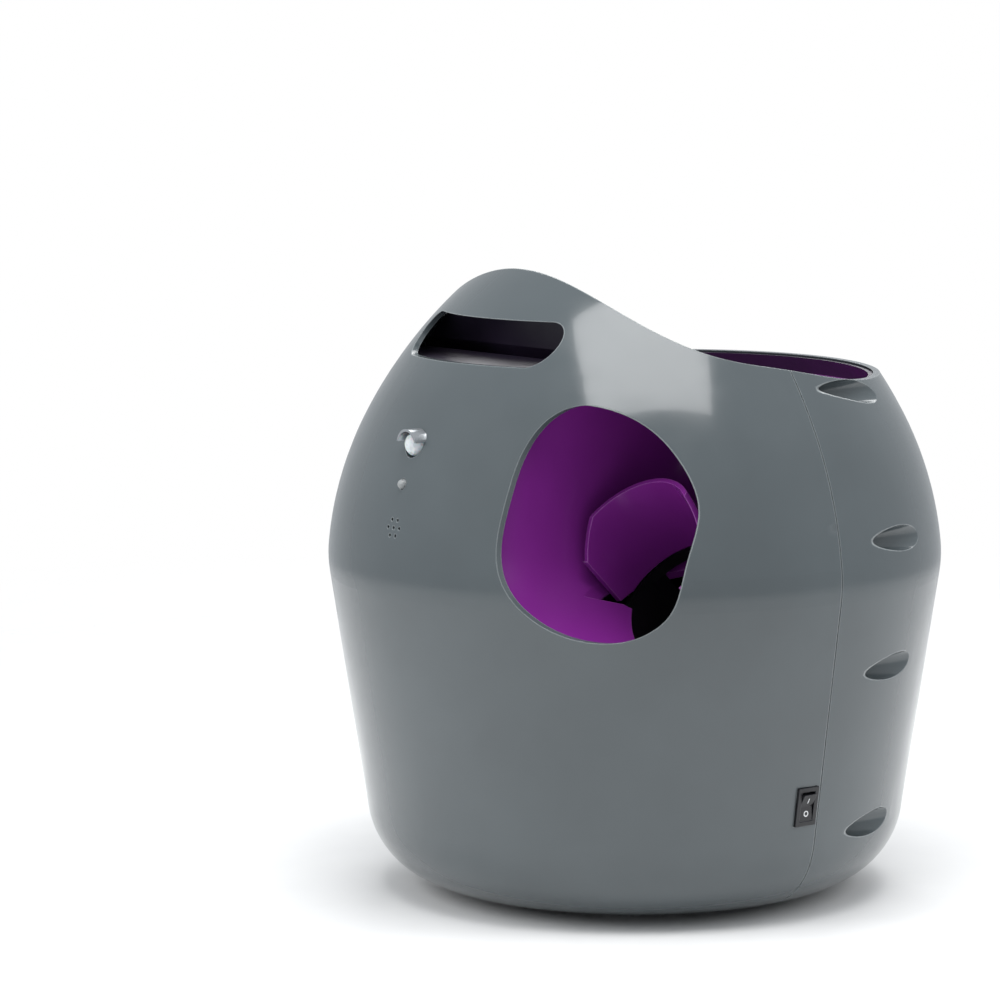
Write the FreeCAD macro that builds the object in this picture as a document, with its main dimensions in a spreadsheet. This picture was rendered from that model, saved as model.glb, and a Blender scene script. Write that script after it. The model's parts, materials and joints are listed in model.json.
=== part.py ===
import FreeCAD, Part
import math
import os
import re
from types import SimpleNamespace
from FreeCAD import Placement, Rotation, Vector

# An automatic ball launcher: an egg-shaped casing in two halves round a ball funnel, a spring-driven
# launch chamber and a barrel hood that tilts. The front is -Y, +X is the side with the launch opening,
# and the origin is on the ground under the middle. All sizes are in millimetres and degrees.

SIZES = [
    # casing
    ("wall", 3.0), ("fit_gap", 0.3), ("run_gap", 0.06),
    ("base_height", 4.0), ("heel_round", 45.3), ("taper", 8.66), ("belly_radius", 163.8),
    ("belly_height", 180.2), ("belly_round", 67.7), ("chest_angle", 5.9), ("chest_round", 187.8),
    ("shoulder_angle", 27.35), ("shoulder_round", 247.0),
    ("crown_height", 352.0), ("seam_width", 0.7), ("seam_depth", 0.8),
    # mouth and hand slot
    ("strap_back", 76.0), ("rim_height", 276.0), ("slot_half_width", 57.0), ("slot_height", 22.0),
    ("slot_level", 299.5),
    # launch opening and the pocket behind it
    ("opening_x", 103.0), ("opening_z", 213.0), ("opening_half_width", 36.5), ("opening_half_height", 58.0),
    ("pocket_margin", 9.0), ("pocket_back", 15.5), ("pocket_round", 28.0), ("liner_wall", 2.4),
    # launch chamber, its frame is at the mouth's centre with Z along the shot
    ("mouth_x", 103.0), ("mouth_y", -55.0), ("mouth_z", 172.0), ("launch_angle", 45.0),
    ("bore_radius", 34.2), ("tube_wall", 3.0), ("chamber_length", 115.0), ("port_start", 6.0),
    ("port_length", 68.0), ("cap_thickness", 4.0),
    # barrel hood
    ("hood_length", 50.0), ("hood_wall", 2.4), ("hood_edge_angle", 21.7), ("pivot_rise", 9.0),
    ("tilt_range", 25.0), ("pivot_radius", 4.0), ("sector_width", 6.0), ("sector_teeth", 48.0),
    ("tilt_module", 1.0), ("dial_teeth", 14.0), ("rack_back", 4.0), ("stub", 0.85), ("backlash", 0.16),
    # striker and its drive
    ("striker_rest", 40.0), ("striker_thickness", 8.0), ("stroke", 34.0), ("rod_length", 106.0),
    ("rod_width", 10.0), ("rod_height", 10.0), ("drive_module", 1.5), ("drive_teeth", 32.0),
    ("pinion_teeth", 16.0), ("gear_width", 9.0), ("gear_station", 141.5), ("axle_radius", 3.0),
    ("plate_thickness", 3.0), ("plate_gap", 8.0), ("motor_radius", 17.0), ("motor_length", 46.0),
    ("spring_radius", 24.0), ("spring_wire", 2.6), ("spring_turns", 6.0),
    # funnel
    ("outlet_x", 98.0), ("outlet_y", 28.0), ("outlet_radius", 35.0), ("outlet_height", 186.0),
    ("funnel_slope", 23.0), ("funnel_wall", 2.5), ("funnel_front", 14.0), ("liner_depth", 10.0),
    ("shelf_height", 284.0), ("lip_height", 306.0), ("lip_front", 62.0),
    # base, batteries and feet
    ("plate_radius", 96.0), ("foot_ring", 86.0), ("foot_radius", 8.0), ("cell_radius", 16.8),
    ("cell_length", 61.5), ("box_x", -33.0), ("box_wall", 2.0), ("box_floor", 11.0),
    # rear dials
    ("dial_z", 150.0), ("dial_radius", 22.0), ("dial_height", 10.0),
    ("panel_width", 140.0), ("panel_height", 62.0), ("panel_y", 138.0), ("panel_corner", 16.0),
    # screws along the seam
    ("pocket_radius", 6.6), ("boss_wall", 2.2), ("pocket_start", 12.0), ("screw_radius", 1.9), ("screw_head", 3.8),
    ("screw_depth", 15.0),
    # power switch
    ("switch_y", -8.4), ("switch_z", 64.2), ("switch_width", 13.5), ("switch_height", 20.5),
    ("switch_lean", 9.0), ("switch_depth", 14.0), ("rocker_throw", 7.0),
    # front sensors
    ("lens_z", 248.0), ("lens_radius", 6.5), ("lamp_z", 228.0), ("lamp_radius", 2.5),
    ("speaker_z", 206.0), ("speaker_ring", 4.6), ("speaker_hole", 0.9),
]

doc = FreeCAD.newDocument("ball_launcher")
sheet = doc.addObject("Spreadsheet::Sheet", "sizes")
for row, (alias, value) in enumerate(SIZES, start=1):
    sheet.set("A%d" % row, alias)
    sheet.set("B%d" % row, str(value))
    sheet.setAlias("B%d" % row, alias)
doc.recompute()
ALIASES = {alias for alias, value in SIZES}
s = SimpleNamespace(**{alias: float(sheet.get(alias)) for alias in ALIASES})

X_AXIS = Vector(1, 0, 0)
Y_AXIS = Vector(0, 1, 0)
Z_AXIS = Vector(0, 0, 1)
FAR = 400.0
SEAM_TURN = 215.0
NODES = {}


def formula(words):
    """Write a formula of alias names as an expression on the sheet."""
    def cell(match):
        return "sizes." + match.group(0) if match.group(0) in ALIASES else match.group(0)
    return re.sub(r"[a-z][a-z_]+", cell, str(words))


def bind(thing, **properties):
    for name, words in properties.items():
        thing.setExpression(name.replace("__", "."), formula(words))
    return thing


def place(thing, at=(0, 0, 0), axis=Z_AXIS, angle=0):
    """Seat an object at a point given by formulas, turned about an axis."""
    thing.Placement = Placement(Vector(0, 0, 0), Rotation(axis, 1.0))
    bind(thing, Placement__Base__x=at[0], Placement__Base__y=at[1], Placement__Base__z=at[2])
    bind(thing, Placement__Rotation__Angle=angle)
    return thing


def set_down(thing, placement):
    """Put an object at a worked-out placement, without its formulas."""
    for path in ("Placement.Base.x", "Placement.Base.y", "Placement.Base.z", "Placement.Rotation.Angle"):
        thing.setExpression(path, None)
    thing.Placement = placement
    return thing


def cylinder(name, radius, height, at=(0, 0, 0), axis=Z_AXIS, angle=0):
    thing = doc.addObject("Part::Cylinder", name)
    bind(thing, Radius=radius, Height=height)
    return place(thing, at, axis, angle)


def box(name, size, at=(0, 0, 0), axis=Z_AXIS, angle=0):
    thing = doc.addObject("Part::Box", name)
    bind(thing, Length=size[0], Width=size[1], Height=size[2])
    return place(thing, at, axis, angle)


def cut(name, base, *tools):
    """Take tools away from a base, one after the other."""
    for number, tool in enumerate(tools, start=1):
        thing = doc.addObject("Part::Cut", name if number == len(tools) else "%s_step_%d" % (name, number))
        thing.Base = base
        thing.Tool = tool
        base = thing
    return base


def join(name, *pieces):
    thing = doc.addObject("Part::MultiFuse", name)
    thing.Shapes = list(pieces)
    return thing


def common(name, *pieces):
    thing = doc.addObject("Part::MultiCommon", name)
    thing.Shapes = list(pieces)
    return thing


def drawn(name, shape):
    """Hold a wire, face or solid that was drawn with curves, as a feature of the document."""
    thing = doc.addObject("Part::Feature", name)
    thing.Shape = shape
    return thing


def spun(name, face):
    thing = doc.addObject("Part::Revolution", name)
    face.rotate(Vector(0, 0, 0), Z_AXIS, SEAM_TURN)
    thing.Source = drawn(name + "_profile", face)
    thing.Axis = Z_AXIS
    thing.Angle = 360.0
    thing.Solid = True
    return thing


def pushed(name, face, along, length):
    thing = doc.addObject("Part::Extrusion", name)
    thing.Base = drawn(name + "_outline", face)
    thing.DirMode = "Custom"
    thing.Dir = along
    thing.Solid = True
    return bind(thing, LengthFwd=length)


def rounded(name, base, radius, pick):
    """Round the edges of a feature that pick chooses."""
    doc.recompute()
    thing = doc.addObject("Part::Fillet", name)
    thing.Base = base
    edges = [n for n, edge in enumerate(base.Shape.Edges, start=1) if pick(edge)]
    thing.Edges = [(n, radius, radius) for n in edges]
    return thing


def node(name, thing):
    thing.Label = name
    NODES[name] = thing
    return thing


# Casing surface


def towards(angle):
    """Unit vector in the profile plane, at an angle above the horizon."""
    return Vector(math.cos(math.radians(angle)), 0, math.sin(math.radians(angle)))


CASING_CENTRES = {}
CASING_CENTRES["belly"] = Vector(s.belly_radius - s.belly_round, 0, s.belly_height)
CASING_CENTRES["chest"] = CASING_CENTRES["belly"] + towards(s.chest_angle) * (s.belly_round - s.chest_round)
CASING_CENTRES["shoulder"] = (CASING_CENTRES["chest"]
                              + towards(s.shoulder_angle) * (s.chest_round - s.shoulder_round))
heel_rise = s.base_height + s.heel_round
heel_reach = ((CASING_CENTRES["belly"].dot(towards(-s.taper)) + s.belly_round - s.heel_round
               + heel_rise * math.sin(math.radians(s.taper))) / math.cos(math.radians(s.taper)))
CASING_CENTRES["heel"] = Vector(heel_reach, 0, heel_rise)


def casing_radius(height):
    """Outer radius of the casing at a height above its heel."""
    belly = CASING_CENTRES["belly"]
    low = belly + towards(-s.taper) * s.belly_round
    if height < s.heel_round:
        centre, radius = CASING_CENTRES["heel"], s.heel_round
    elif height < low.z:
        return low.x - (low.z - height) * math.tan(math.radians(s.taper))
    elif height < belly.z + s.belly_round * math.sin(math.radians(s.chest_angle)):
        centre, radius = belly, s.belly_round
    else:
        centre, radius = CASING_CENTRES["chest"], s.chest_round
        if height > centre.z + radius * math.sin(math.radians(s.shoulder_angle)):
            centre, radius = CASING_CENTRES["shoulder"], s.shoulder_round
    return centre.x + math.sqrt(radius ** 2 - (height - centre.z) ** 2)


def casing_face(inset):
    """Half profile of the casing, set in by a wall, as a face to spin about Z: all arcs are tangent."""
    crown = math.degrees(math.asin(
        (s.crown_height - CASING_CENTRES["shoulder"].z) / (s.shoulder_round - inset)))
    arcs = [
        ("heel", s.heel_round, -90, -s.taper), ("belly", s.belly_round, -s.taper, s.chest_angle),
        ("chest", s.chest_round, s.chest_angle, s.shoulder_angle),
        ("shoulder", s.shoulder_round, s.shoulder_angle, crown),
    ]
    edges = []
    ends = []
    for name, radius, start, stop in arcs:
        points = [CASING_CENTRES[name] + towards(angle) * (radius - inset)
                  for angle in (start, (start + stop) / 2, stop)]
        edges.append(Part.Arc(*points).toShape())
        ends += [points[0], points[2]]
    base = Vector(0, 0, ends[0].z)
    roof = Vector(0, 0, ends[-1].z)
    for start, stop in ((base, ends[0]), (ends[1], ends[2]), (ends[-1], roof), (roof, base)):
        edges.append(Part.LineSegment(start, stop).toShape())
    return Part.Face(Part.Wire(Part.__sortEdges__(edges)))


def casing_body(name, inset):
    return spun(name, casing_face(inset))


def closed_curve(points):
    curve = Part.BSplineCurve()
    curve.interpolate(points, PeriodicFlag=True)
    return Part.Face(Part.Wire([curve.toShape()]))


def opening_face(margin):
    """Outline of the launch opening seen from the front, widened all round by a margin."""
    shape = [
        (-0.44, 1.01), (0.14, 0.87), (0.69, 0.51), (0.97, 0.12), (1.0, -0.31), (0.90, -0.73),
        (0.54, -0.96), (0.05, -0.98), (-0.53, -0.78), (-0.93, -0.36), (-0.98, 0.22), (-0.95, 0.70),
        (-0.77, 0.94),
    ]
    points = []
    for across, up in shape:
        reach = math.hypot(across * s.opening_half_width, up * s.opening_half_height)
        grow = 1.0 + margin / reach
        x = s.opening_x + across * s.opening_half_width * grow
        z = s.opening_z + up * s.opening_half_height * grow
        points.append(Vector(x, 0, z))
    return closed_curve(points)


def mouth_curve(drop):
    """Side view of the edge left by the mouth, lowered by a drop: strap, swoop and level rear rim."""
    edge = [
        (-s.strap_back, s.crown_height + 10), (-s.strap_back + 1, s.rim_height + 52),
        (-64, s.rim_height + 34), (-45, s.rim_height + 20.5), (-7, s.rim_height + 11),
        (44, s.rim_height + 2), (90, s.rim_height), (170, s.rim_height + 1),
    ]
    curve = Part.BSplineCurve()
    curve.interpolate([Vector(-FAR, y, z - drop) for y, z in edge])
    first = Vector(-FAR, edge[0][0], edge[0][1] - drop)
    last = Vector(-FAR, edge[-1][0], edge[-1][1] - drop)
    roof = s.crown_height + 60
    corners = [last, Vector(-FAR, last.y, roof), Vector(-FAR, first.y, roof), first]
    sides = [Part.LineSegment(a, b).toShape() for a, b in zip(corners, corners[1:])]
    return Part.Face(Part.Wire([curve.toShape()] + sides))


# Casing halves


def screw_places():
    """Screw pockets down each side: how far out and how high each screw axis lies."""
    heights = [s.rim_height - 4, s.belly_height + 18, s.belly_height - 49, s.base_height + 43]
    marks = [(casing_radius(z) - 1.3 * s.pocket_radius, z) for z in heights]
    return [(side * x, z) for x, z in marks for side in (-1, 1)]


outer_body = casing_body("outer_body", 0.0)
inner_body = casing_body("inner_body", s.wall)
seam_body = casing_body("seam_body", s.seam_depth)
mouth_cutter = pushed("mouth_cutter", mouth_curve(0.0), X_AXIS, "2 * 400")
opening_cutter = pushed("opening_cutter", opening_face(0.0), Vector(0, -1, 0), "400")
slot_middle = box("slot_middle", ("2 * slot_half_width - slot_height", "200", "slot_height"),
                  ("slot_height / 2 - slot_half_width", "-220", "slot_level - slot_height / 2"))
slot_ends = [
    cylinder("slot_end_%d" % number, "slot_height / 2", "200",
             ("%d * (slot_half_width - slot_height / 2)" % side, "-20", "slot_level"), X_AXIS, 90)
    for number, side in enumerate((-1, 1), start=1)
]
hand_slot = join("hand_slot", slot_middle, *slot_ends)
base_hole = cylinder("base_hole", "plate_radius + fit_gap", "40", (0, 0, "base_height - 20"))
hollow = cut("hollow_casing", outer_body, inner_body)
seam_ring = common("seam_ring", cut("seam_skin", outer_body, seam_body),
                   box("seam_slab", ("800", "seam_width", "400"), ("-400", "-seam_width / 2", "0")))

bosses = []
pockets = []
screw_holes = []
screws = []
front_bosses = []
pilot_holes = []
for number, (x, z) in enumerate(screw_places(), start=1):
    turn = (X_AXIS, -90)
    bosses.append(cylinder("screw_boss_%d" % number, "pocket_radius + boss_wall", "90", (x, 0, z), *turn))
    pockets.append(cylinder("screw_pocket_%d" % number, "pocket_radius", "120", (x, "pocket_start", z), *turn))
    screw_holes.append(cylinder("screw_hole_%d" % number, "screw_radius + run_gap", "40", (x, "-20", z), *turn))
    front_bosses.append(
        cylinder("front_boss_%d" % number, "pocket_radius", "screw_depth + 3", (x, "-screw_depth - 3", z), *turn))
    pilot_holes.append(cylinder("pilot_hole_%d" % number, "screw_radius + run_gap", "screw_depth + 1",
                                (x, "-screw_depth - 1", z), *turn))
    shank = cylinder("screw_shank_%d" % number, "screw_radius", "screw_depth + pocket_start",
                     (x, "-screw_depth", z), *turn)
    head = cylinder("screw_head_%d" % number, "screw_head", "2.4", (x, "pocket_start", z), *turn)
    screws.append(join("screw_%d" % number, shank, head))

rear_half = box("rear_half", ("800", "400", "500"), ("-400", "0", "-50"))
front_half = box("front_half", ("800", "400", "500"), ("-400", "-400", "-50"))

# power switch frame, leaning with the casing's taper, its Z points out of the wall
switch_x = math.sqrt(casing_radius(s.switch_z) ** 2 - s.switch_y ** 2)


def on_switch(thing, shift):
    """Seat a piece drawn about the switch face's centre, which looks outwards."""
    lean = Rotation(Y_AXIS, 90 + s.switch_lean)
    centre = Vector(switch_x, s.switch_y, s.switch_z)
    thing.Placement = Placement(centre + lean.multVec(shift), lean)
    return thing


def block(name, width, tall, deep):
    thing = doc.addObject("Part::Box", name)
    return bind(thing, Length=tall, Width=width, Height=deep)


switch_cutout = on_switch(
    block("switch_cutout", "switch_width - 2 + 2 * fit_gap", "switch_height - 2 + 2 * fit_gap", "40"),
    Vector(1 - s.fit_gap - s.switch_height / 2, 1 - s.fit_gap - s.switch_width / 2, -25))
lens_hole = cylinder("lens_hole", "lens_radius + fit_gap", "60", (0, "-120", "lens_z"), X_AXIS, 90)
lamp_hole = cylinder("lamp_hole", "lamp_radius + fit_gap", "60", (0, "-120", "lamp_z"), X_AXIS, 90)
speaker_places = [(0.0, 0.0)] + [
    (s.speaker_ring * math.cos(math.radians(60 * n)), s.speaker_ring * math.sin(math.radians(60 * n)))
    for n in range(6)
]
speaker_holes = [
    cylinder("speaker_hole_%d" % number, "speaker_hole", "60",
             (x, "-130", "speaker_z + %.3f" % z), X_AXIS, 90)
    for number, (x, z) in enumerate(speaker_places, start=1)
]
bezel_seat = on_switch(block("bezel_seat", "switch_width + 0.3", "switch_height + 0.3", "20"),
                       Vector(-s.switch_height / 2 - 0.15, -s.switch_width / 2 - 0.15, -1.45))

front_skin = join("front_skin", common("front_half_shell", hollow, front_half), common(
    "front_boss_mass", outer_body, join("front_boss_set", *front_bosses)))
front_shell = node("front_shell", cut(
    "front_shell_cut", front_skin, mouth_cutter, opening_cutter, hand_slot, base_hole, seam_ring,
    switch_cutout, bezel_seat, join("front_holes", lens_hole, lamp_hole, *(speaker_holes + pilot_holes))))

panel_hole = box("panel_hole", ("panel_width + 2 * fit_gap", "80", "panel_height + 2 * fit_gap"),
                 ("-panel_width / 2 - fit_gap", "panel_y - 30", "dial_z - panel_height / 2 - fit_gap"))
rear_panel_hole = rounded("rear_panel_hole", panel_hole, s.panel_corner + s.fit_gap,
                          lambda edge: abs(edge.tangentAt(edge.FirstParameter).y) > 0.99)
inlet_hole = cylinder("inlet_hole", "5.5 + fit_gap", "60", ("0", "110", "base_height + 46"), X_AXIS, -90)
rear_skin = join("rear_skin", common("rear_half_shell", hollow, rear_half), common(
    "rear_boss_mass", outer_body, join("rear_boss_set", *bosses)))
rear_shell = node("rear_shell", cut(
    "rear_shell_cut", rear_skin, rear_panel_hole, inlet_hole, mouth_cutter, base_hole, seam_ring,
    join("rear_screw_cuts", *(pockets + screw_holes))))
node("shell_screws", join("shell_screw_group", *screws))



# Pocket behind the launch opening, and the tilting hood


def pocket_solid(name, shrink):
    """Bowl behind the opening: the opening's outline grown, then drawn in towards a rounded back."""
    back = -s.pocket_back - shrink
    stations = [(back - 150 + 22 * number, 0.0) for number in range(5)]
    stations += [(back - 42, 0.01), (back - 26, 0.08), (back - 12, 0.30), (back - 3.5, 0.62), (back, 0.92)]
    wires = []
    for y, draw in stations:
        face = opening_face(s.pocket_margin + s.liner_wall - shrink - draw * s.pocket_round)
        face.translate(Vector(0, y, 0))
        wires.append(face.OuterWire)
    return drawn(name, Part.makeLoft(wires, True, False))


pivot = Vector(s.mouth_x, s.mouth_y, s.mouth_z) + Rotation(X_AXIS, 90 - s.launch_angle).multVec(
    Vector(0, 0, s.pivot_rise))


def on_launch(name, *pieces):
    """Seat pieces drawn in the chamber's frame: origin at the mouth's centre, Z along the shot, Y up."""
    thing = doc.addObject("Part::Compound", name)
    thing.Links = list(pieces)
    return place(thing, ("mouth_x", "mouth_y", "mouth_z"), X_AXIS, "90 - launch_angle")


def turned_casing(name, inset, angle):
    """Inside of the casing turned about the barrel's pivot, to trim what swings within it."""
    thing = casing_body(name, inset)
    turn = Rotation(X_AXIS, angle)
    thing.Placement = Placement(pivot - turn.multVec(pivot), turn)
    return thing


sector_inner = s.opening_half_width + s.pocket_margin + s.liner_wall + 1.6
pin_reach = s.bore_radius + 9.0

liner_body = casing_body("liner_body", s.wall + s.fit_gap)
chamber_clearance = on_launch("chamber_clearance", cylinder(
    "chamber_clearance_core", "bore_radius + tube_wall + fit_gap", "chamber_length + 1",
    (0, 0, "-chamber_length")))
pin_clearance = on_launch("pin_clearance", cylinder(
    "pin_clearance_core", "pivot_radius + run_gap", "200", ("-100", 0, "pivot_rise"), Y_AXIS, 90))
pin_pad = common("pin_pad", liner_body, on_launch("pin_pad_place", cylinder(
    "pin_pad_core", "2 * pivot_radius + 1", "20", ("bore_radius + 4", 0, "pivot_rise"),
    Y_AXIS, 90)))
pocket_shell = common("pocket_shell", liner_body, cut(
    "pocket_walls", pocket_solid("pocket_outside", 0.0), pocket_solid("pocket_inside", s.liner_wall)))
hood_rooms = []
for number, angle in enumerate((0, s.tilt_range / 2, s.tilt_range)):
    room = cylinder("hood_room_%d" % number, "bore_radius + hood_wall + 1.1", "hood_length")
    bind(room, Angle="188 + 2 * hood_edge_angle")
    turn = Rotation(X_AXIS, angle)
    launch_frame = Placement(Vector(s.mouth_x, s.mouth_y, s.mouth_z), Rotation(X_AXIS, 90 - s.launch_angle))
    edge_turn = Placement(Vector(0, 0, 0), Rotation(Z_AXIS, -s.hood_edge_angle - 4))
    swung = Placement(pivot - turn.multVec(pivot), turn)
    hood_rooms.append(set_down(room, swung.multiply(launch_frame).multiply(edge_turn)))
hood_rooms.append(on_launch("eye_room", cylinder(
    "eye_room_core", "pivot_radius + 3.6", "6", ("-bore_radius - 5.5", 0, "pivot_rise"), Y_AXIS, 90)))
node("cavity_liner", cut("cavity_liner_cut", join("cavity_liner_mass", pocket_shell, pin_pad),
                         chamber_clearance, pin_clearance, *hood_rooms))

hood_outer = cylinder("hood_outer", "bore_radius + 0.1 + hood_wall", "hood_length - 1.5", (0, 0, 1.5),
                      Z_AXIS, "-hood_edge_angle")
bind(hood_outer, Angle="180 + 2 * hood_edge_angle")
hood_inner = cylinder("hood_inner", "bore_radius + 0.1", "hood_length + 10", (0, 0, -5))
hood_bevel = box("hood_bevel", (120, 60, 60), (-60, 0, 0))
set_down(hood_bevel, Placement(Vector(-60, -12.6, s.hood_length - 12.6), Rotation(X_AXIS, 33.0)))
hood_bevel_sides = cut("hood_bevel_sides", hood_bevel, box("hood_bevel_keep", (200, 80, 120), (-100, 6.7, 0)))
swing = Rotation(X_AXIS, -s.tilt_range)
hood_foot = box("hood_foot", (120, 120, 60), (-60, -60, -60))
hood_pivot = Vector(0, 0, s.pivot_rise)
set_down(hood_foot, Placement(hood_pivot + swing.multVec(Vector(-60, -60, -59) - hood_pivot), swing))
pin_left = cylinder("pin_left", "pivot_radius", sector_inner + s.sector_width - s.bore_radius - 1,
                    (-sector_inner - s.sector_width, 0, "pivot_rise"), Y_AXIS, 90)
pin_right = cylinder("pin_right", "pivot_radius", pin_reach - s.bore_radius - 1,
                     (s.bore_radius + 1, 0, "pivot_rise"), Y_AXIS, 90)
eye_left = cylinder("eye_left", "pivot_radius + 3", "4", ("-bore_radius - 5", 0, "pivot_rise"), Y_AXIS, 90)
eye_right = cylinder("eye_right", "pivot_radius + 3", "2.4", ("bore_radius + 1", 0, "pivot_rise"), Y_AXIS, 90)
hood_wall = cut("hood_wall_cut", hood_outer, hood_inner, hood_bevel_sides, hood_foot)
hood_trimmed = common("hood_trimmed", on_launch("hood_placed", cut(
    "hood_with_eyes", join("hood_mass", hood_wall, eye_left, eye_right), cylinder(
        "hood_bore", "bore_radius + 0.1", "hood_length + 20", (0, 0, -10)))),
    casing_body("swing_rest", s.wall + 1.5), turned_casing("swing_low", s.wall + 1.5, -s.tilt_range))
node("barrel_hood", join("barrel_hood_mass", hood_trimmed, on_launch("pins_placed", pin_left, pin_right)))

# Launch chamber: a tube with a ball port on its upper side and a cap with the rod's slot
port = box("ball_port", ("2 * bore_radius - 2", "80", "port_length"),
           ("1 - bore_radius", 8, "-port_start - port_length"))
rod_slot = box("rod_slot", ("rod_width + 2 * fit_gap", "rod_height + 2 * fit_gap", "40"),
               ("-rod_width / 2 - fit_gap", "-rod_height / 2 - fit_gap", "-chamber_length - 20"))
chamber_tube = cut("chamber_tube", cylinder("chamber_outer", "bore_radius + tube_wall", "chamber_length",
                                            (0, 0, "-chamber_length")),
                   cylinder("chamber_bore", "bore_radius", "chamber_length",
                            (0, 0, "cap_thickness - chamber_length")), port, rod_slot)
node("launch_chamber", on_launch("launch_chamber_placed", chamber_tube))

# Gears


def gear_face(teeth, module, first_angle):
    """Spur gear outline about the origin with a tooth centred at first_angle and involute flanks."""
    pitch = teeth * module / 2
    base = pitch * math.cos(math.radians(20))
    tip = pitch + s.stub * module
    root = pitch - (s.stub + 0.3) * module

    def flank(radius):
        press = math.acos(min(1.0, base / radius))
        pitch_press = math.radians(20)
        involute = math.tan(press) - press - math.tan(pitch_press) + pitch_press
        return (math.pi / teeth / 2 - s.backlash / pitch / 2) - involute

    radii = [max(base, root) + (tip - max(base, root)) * step / 4 for step in range(5)]
    points = []
    for number in range(int(teeth)):
        centre = math.radians(first_angle) + 2 * math.pi * number / teeth
        side = [(root, flank(radii[0]))] + [(radius, flank(radius)) for radius in radii]
        if root >= base:
            side = side[1:]
        for radius, half in side:
            points.append((radius, centre - half))
        for radius, half in reversed(side):
            points.append((radius, centre + half))
    corners = [Vector(radius * math.cos(angle), radius * math.sin(angle), 0) for radius, angle in points]
    return Part.Face(Part.makePolygon(corners + corners[:1]))


def rack_face(start, stop, space, module, depth):
    """Rack outline: runs along X from start to stop, teeth point to -Y, a space is centred at space."""
    step = math.pi * module
    rise = s.stub * module
    fall = (s.stub + 0.3) * module
    slope = math.tan(math.radians(20))
    half = step / 4 - s.backlash / 2
    points = [Vector(start, fall, 0)]
    count = int((stop - start) / step) + 2
    for number in range(-count, count):
        middle = space + (number + 0.5) * step
        if middle - half - fall * slope < start or middle + half + fall * slope > stop:
            continue
        points += [Vector(middle - half - fall * slope, fall, 0), Vector(middle - half + rise * slope, -rise, 0),
                   Vector(middle + half - rise * slope, -rise, 0), Vector(middle + half + fall * slope, fall, 0)]
    points += [Vector(stop, fall, 0), Vector(stop, depth, 0), Vector(start, depth, 0)]
    return Part.Face(Part.makePolygon(points + points[:1]))


def across(thing, x, y, z):
    """Lay a piece built along Z onto X, its own Y staying Y, and move it."""
    thing.Placement = Placement(Vector(x, y, z), Rotation(Y_AXIS, 90))
    return thing


drive_radius = s.drive_teeth * s.drive_module / 2
pinion_radius = s.pinion_teeth * s.drive_module / 2
rod_pitch_line = -s.rod_height / 2 + s.stub * s.drive_module
drive_y = rod_pitch_line - drive_radius
drive_z = -s.gear_station
slant = math.sqrt(0.5) * (drive_radius + pinion_radius)
pinion_y = drive_y - slant
pinion_z = drive_z + slant
plate_inner = s.gear_width / 2 + s.plate_gap / 2
plate_outer = plate_inner + s.plate_thickness

# Striker, rod and spring, drawn in the chamber's frame
striker_disc = cylinder("striker_disc", "bore_radius - 0.4", "striker_thickness",
                        (0, 0, "-striker_rest - striker_thickness"))
ball_dish = doc.addObject("Part::Sphere", "ball_dish")
bind(ball_dish, Radius="bore_radius")
place(ball_dish, (0, 0, "bore_radius - striker_rest - 4"))
node("striker", on_launch("striker_placed", cut("striker_cut", striker_disc, ball_dish)))
rod_start = -s.striker_rest - s.striker_thickness
rod = pushed("striker_rod_teeth", rack_face(rod_start - s.rod_length, rod_start - 30, drive_z, s.drive_module,
                                            s.rod_height / 2 - rod_pitch_line), Z_AXIS, "rod_width")
rod.Placement = Placement(Vector(s.rod_width / 2, rod_pitch_line, 0), Rotation(Y_AXIS, -90))
rod_neck = box("rod_neck", ("rod_width", "rod_height", "30"),
               ("-rod_width / 2", "-rod_height / 2", rod_start - 30))
node("striker_rod", on_launch("striker_rod_placed", join("striker_rod_mass", rod, rod_neck)))


def half_ring(name, radius, wire, seat):
    """Half a ring of round wire, from its +X end to its -X end through +Y."""
    thing = doc.addObject("Part::Torus", name)
    bind(thing, Radius1=radius, Radius2=wire, Angle3=180)
    thing.Placement = seat
    return thing


def coil(name, radius, wire, turns, start, stop):
    """Round-wire spring along Z between two seats: level half turns joined by half turns that climb."""
    pitch = (stop - start - 2 * wire - 0.2) / turns
    climb = math.degrees(math.atan2(pitch / 2, radius))
    halves = []
    for number in range(int(turns) + 1):
        level = start + wire + 0.1 + number * pitch
        halves.append(half_ring("%s_level_%d" % (name, number), radius, wire,
                                Placement(Vector(0, 0, level), Rotation())))
        if number < turns:
            halves.append(half_ring("%s_climb_%d" % (name, number), math.hypot(radius, pitch / 2), wire, Placement(
                Vector(0, 0, level + pitch / 2), Rotation(Y_AXIS, -climb).multiply(Rotation(Z_AXIS, 180)))))
    return join(name, *halves)


node("launch_spring", on_launch("launch_spring_placed", coil(
    "launch_spring_wire", s.spring_radius, s.spring_wire / 2, s.spring_turns,
    s.cap_thickness - s.chamber_length, rod_start)))

# Drive gear on its axle between two plates, the motor and its pinion
gear_body = across(pushed("drive_gear_teeth", gear_face(s.drive_teeth, s.drive_module, 90), Z_AXIS, "gear_width"),
                   -s.gear_width / 2, drive_y, drive_z)


def axle(name, radius, length, x, y, z):
    """Round bar along X from x, in whichever frame it is drawn."""
    return cylinder(name, radius, length, (x, y, z), Y_AXIS, 90)


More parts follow.
